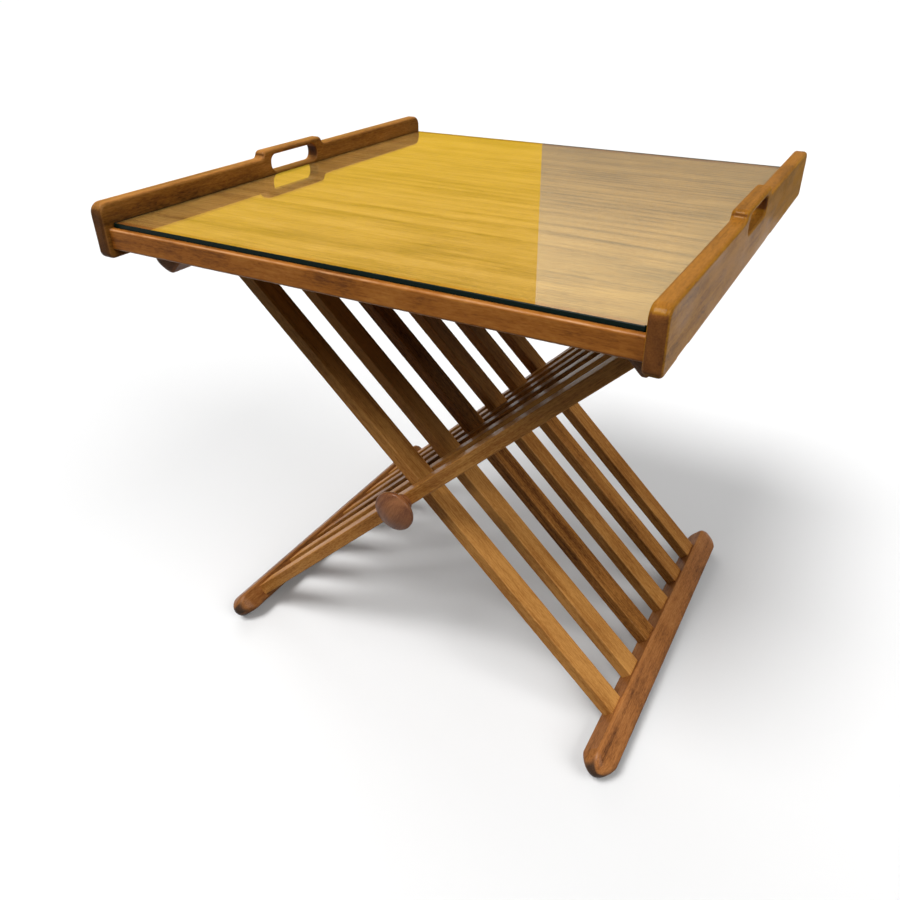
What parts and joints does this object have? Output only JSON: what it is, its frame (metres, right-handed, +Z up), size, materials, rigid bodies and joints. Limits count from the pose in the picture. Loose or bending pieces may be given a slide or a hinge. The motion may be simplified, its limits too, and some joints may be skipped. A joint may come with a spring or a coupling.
{
  "type": "butler's tray table",
  "caption": "Folding butler's tray table: a lift-off wooden tray with slotted handle boards and a loose glass top, on a slatted cross-legged stand that folds about a knobbed pivot rod.",
  "frame": {"origin": "on the floor under the middle of the table", "axes": "+X along the front apron to the right, +Y from the front to the back along the handle boards, +Z up"},
  "size_m": [0.7416, 0.752, 0.7663],
  "materials": {
    "tray_veneer": "oiled walnut veneer, grain along X",
    "edge_wood": "satin red-brown hardwood, grain along X",
    "board_wood": "satin walnut, grain along Y, edges worn lighter",
    "dowel_wood": "plain beech",
    "glass": "clear float glass with dark green edges",
    "stand_wood": "satin walnut, grain along each piece, feet scuffed dark",
    "rod_steel": "plain drawn rod with a low turned head",
    "knob_wood": "gloss dark red-brown turned wood",
    "insert_brass": "plain turned brass"
  },
  "bodies": {
    "pivot": {"pivot_rod": "rod_steel", "front_knob": "knob_wood", "knob_insert": "insert_brass"},
    "outer_frame": {"outer_slat_1": "stand_wood", "outer_slat_2": "stand_wood", "outer_slat_3": "stand_wood", "outer_slat_4": "stand_wood", "outer_slat_5": "stand_wood", "outer_slat_6": "stand_wood", "outer_top_rail": "stand_wood", "outer_foot_rail": "stand_wood"},
    "inner_frame": {"inner_slat_1": "stand_wood", "inner_slat_2": "stand_wood", "inner_slat_3": "stand_wood", "inner_slat_4": "stand_wood", "inner_slat_5": "stand_wood", "inner_slat_6": "stand_wood", "inner_top_rail": "stand_wood", "inner_foot_rail": "stand_wood"},
    "tray": {"tray_panel": "tray_veneer", "front_edge_rail": "edge_wood", "back_edge_rail": "edge_wood", "left_handle_board": "board_wood", "right_handle_board": "board_wood", "tray_dowels": "dowel_wood"},
    "glass": {"glass_plate": "glass"}
  },
  "joints": [
    {"name": "outer_fold", "type": "hinge", "parent": "pivot", "child": "outer_frame", "pos_m": [0, 0, 0.34768], "axis": [0, -1, 0], "range_deg": [0, 43.5]},
    {"name": "inner_fold", "type": "hinge", "parent": "pivot", "child": "inner_frame", "pos_m": [0, 0, 0.34768], "axis": [0, 1, 0], "range_deg": [0, 43.5]},
    {"name": "tray_lift", "type": "slide", "parent": "pivot", "child": "tray", "axis": [0, 0, 1], "range_m": [0, 0.35]},
    {"name": "glass_lift", "type": "slide", "parent": "tray", "child": "glass", "axis": [0, 0, 1], "range_m": [0, 0.12]}
  ],
  "couplings": [
    {"joint": "inner_fold", "follows": "outer_fold", "ratio": 1},
    {"joint": "tray_lift", "follows": "outer_fold", "m_per_rad": 0.45}
  ]
}
